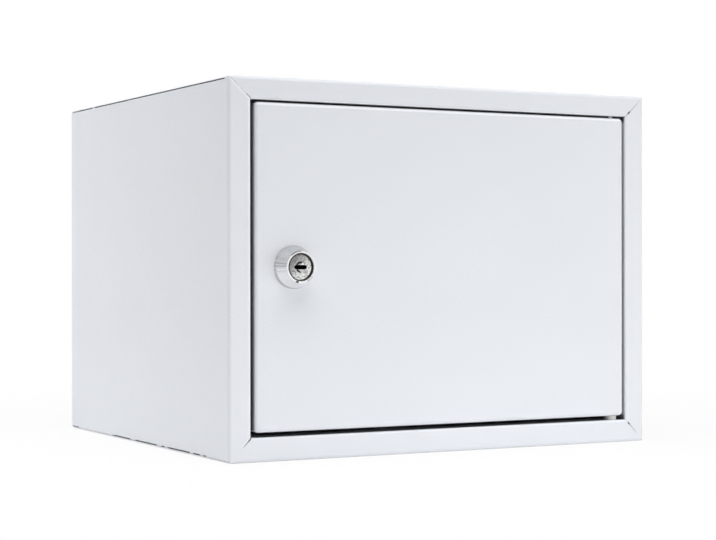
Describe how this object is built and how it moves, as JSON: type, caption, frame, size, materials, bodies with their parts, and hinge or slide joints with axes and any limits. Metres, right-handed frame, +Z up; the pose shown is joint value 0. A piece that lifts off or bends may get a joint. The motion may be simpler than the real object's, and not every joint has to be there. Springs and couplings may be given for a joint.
{
  "type": "home safe",
  "caption": "Small white sheet-steel safe with a mitred front frame, an inset door on hidden pivot pins and a key-operated cam lock in a conical chrome collar.",
  "frame": {"origin": "middle of the underside of the case, without the lock that stands off the door", "axes": "+X to the right as seen from the front, +Y into the safe with the front face at -Y, +Z up"},
  "size_m": [0.33, 0.3115, 0.25],
  "materials": {
    "case_paint": "white powder coat with a faint cool tint, fine soft texture, satin",
    "door_paint": "white powder coat with a faint cool tint, fine soft texture, satin",
    "collar_chrome": "bright chrome plate",
    "housing_nickel": "bright nickel plate",
    "plug_nickel": "nickel plate with fine turning marks",
    "wafer_brass": "plain punched brass",
    "zinc_steel": "bright zinc plate on steel",
    "pin_steel": "bright zinc plate on steel",
    "spring_steel": "blued spring steel",
    "washer_nylon": "off-white nylon"
  },
  "bodies": {
    "case": {"case_left_side": "case_paint", "case_right_side": "case_paint", "case_top": "case_paint", "case_bottom": "case_paint", "case_back": "case_paint", "lower_hinge_pin": "pin_steel", "lower_hinge_washer": "washer_nylon", "upper_hinge_pin": "pin_steel", "upper_hinge_clip": "spring_steel"},
    "door": {"door_panel": "door_paint", "door_stiffener": "door_paint", "lock_collar": "collar_chrome", "lock_housing": "housing_nickel", "lock_tooth_washer": "zinc_steel", "lock_nut": "zinc_steel"},
    "cam": {"lock_plug": "plug_nickel", "lock_wafers": "wafer_brass", "lock_stop_washer": "zinc_steel", "lock_cam": "zinc_steel", "cam_spring_washer": "spring_steel", "cam_screw": "zinc_steel"}
  },
  "joints": [
    {"name": "door_hinge", "type": "hinge", "parent": "case", "child": "door", "pos_m": [0.1395, -0.144, 0.12635], "axis": [0, 0, 1], "range_deg": [0, 110]},
    {"name": "lock_turn", "type": "hinge", "parent": "door", "child": "cam", "pos_m": [-0.1185, -0.15, 0.12635], "axis": [0, -1, 0], "range_deg": [0, 90]}
  ]
}
